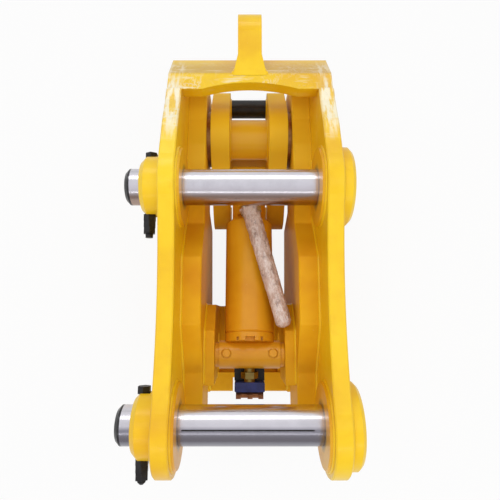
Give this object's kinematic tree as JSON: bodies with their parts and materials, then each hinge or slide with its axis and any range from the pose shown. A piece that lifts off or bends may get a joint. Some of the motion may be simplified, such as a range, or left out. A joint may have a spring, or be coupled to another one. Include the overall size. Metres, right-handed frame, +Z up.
{
  "type": "excavator quick coupler",
  "caption": "Hydraulic quick coupler: two pins join it to an excavator's stick and link, a fixed front jaw and a cylinder-driven rear hook hold the tool's pins.",
  "frame": {"origin": "on the stick pin's axis, half way between the ears", "axes": "+X across the coupler, +Y from the stick pin to the lifting eye, +Z up to the machine side"},
  "size_m": [0.485, 1.049, 0.495],
  "materials": {
    "yellow_paint": "gloss",
    "pin_steel": "ground",
    "black_steel": "satin",
    "bronze": "satin",
    "zinc": "satin",
    "olive_zinc": "satin",
    "blue_paint": "satin",
    "copper": "worn",
    "rubber": "matt",
    "chrome": "mirror",
    "cast_iron": "machined",
    "film": "crinkled",
    "plug_plastic": "moulded"
  },
  "bodies": {
    "frame": {"side_plate_left": "yellow_paint", "side_plate_right": "yellow_paint", "hook_plate_left": "yellow_paint", "hook_plate_right": "yellow_paint", "cylinder_lug_left": "yellow_paint", "cylinder_lug_right": "yellow_paint", "lug_bushes": "bronze", "rear_cross_plate": "yellow_paint", "lifting_eye": "yellow_paint", "lip_cross_plate": "yellow_paint", "belly_plate": "yellow_paint", "inner_ring_stick_left": "yellow_paint", "inner_ring_stick_right": "yellow_paint", "inner_ring_link_left": "yellow_paint", "inner_ring_link_right": "yellow_paint", "pin_collar_stick": "yellow_paint", "pin_collar_link": "yellow_paint", "outer_boss_stick": "yellow_paint", "outer_boss_link": "yellow_paint", "stick_pin": "pin_steel", "link_pin": "pin_steel", "pin_bolts": "black_steel", "pin_bolt_nuts": "black_steel", "grease_nipples": "zinc", "pivot_pin": "yellow_paint", "pivot_boss_left": "yellow_paint", "pivot_boss_right": "yellow_paint", "flag_spacer": "yellow_paint", "flag_bolt": "black_steel", "thrust_washers": "bronze"},
    "hook": {"moving_hook_left": "yellow_paint", "moving_hook_right": "yellow_paint", "hub_tube": "yellow_paint", "hub_bushes": "bronze", "tie_bar": "black_steel", "rod_pin": "pin_steel", "rod_pin_circlips": "black_steel"},
    "barrel": {"foot_tube": "yellow_paint", "foot_pin_left": "pin_steel", "foot_pin_right": "pin_steel", "foot_bolts": "yellow_paint", "foot_spacers": "yellow_paint", "barrel_end_cap": "yellow_paint", "cylinder_barrel": "yellow_paint", "gland": "yellow_paint", "wiper_seal": "rubber", "rod_seal": "rubber", "port_block": "yellow_paint", "hose_fittings": "zinc", "wrapped_hoses": "film", "hose_end_caps": "plug_plastic", "lock_valve": "blue_paint", "valve_adapter": "olive_zinc", "valve_bracket": "black_steel", "relief_cartridge": "copper"},
    "rod": {"piston_rod": "chrome", "rod_eye": "yellow_paint", "piston": "cast_iron", "piston_seal": "rubber", "piston_nut": "zinc"}
  },
  "joints": [
    {"name": "hook_swing", "type": "hinge", "parent": "frame", "child": "hook", "pos_m": [0, 0.688, -0.19], "axis": [1, 0, 0], "range_deg": [0, 28]},
    {"name": "barrel_tilt", "type": "hinge", "parent": "frame", "child": "barrel", "pos_m": [0, 0.127, -0.152], "axis": [1, 0, 0], "range_deg": [-4.8, 0]},
    {"name": "rod_slide", "type": "slide", "parent": "barrel", "child": "rod", "axis": [0, 0.9875, -0.1574], "range_m": [0, 0.035]}
  ],
  "couplings": [
    {"joint": "barrel_tilt", "follows": "hook_swing", "ratio": -0.168},
    {"joint": "rod_slide", "follows": "hook_swing", "m_per_rad": 0.071}
  ]
}
